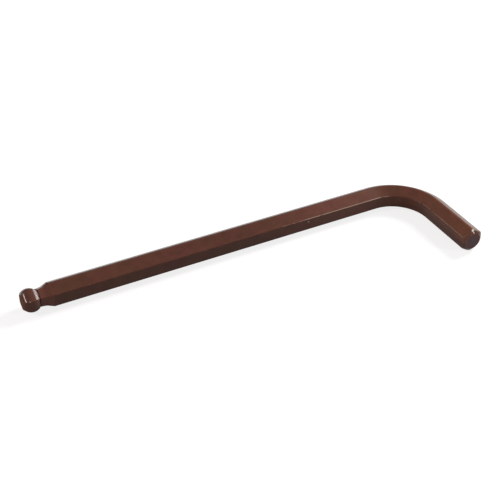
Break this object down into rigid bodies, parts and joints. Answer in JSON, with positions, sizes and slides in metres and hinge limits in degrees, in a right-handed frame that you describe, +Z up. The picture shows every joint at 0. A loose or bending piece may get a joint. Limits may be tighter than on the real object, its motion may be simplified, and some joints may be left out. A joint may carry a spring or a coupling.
{
  "type": "hex key",
  "caption": "L-shaped key bent from hexagonal steel bar, with a ball-shaped end on the long arm and a chamfered end on the short arm.",
  "frame": {"origin": "middle of the key's outline seen from above, at the height of the lowest edges that it lies on", "axes": "+X along the long arm, from the ball end to the bend; the short arm points along -Y; +Z up, across the flat of the L"},
  "size_m": [0.158, 0.044, 0.0091],
  "materials": {
    "coated_steel": "thin brown corrosion-proof coating on hardened steel, satin with a faint lengthwise grain"
  },
  "bodies": {
    "root": {"hex_key": "coated_steel"}
  },
  "joints": []
}
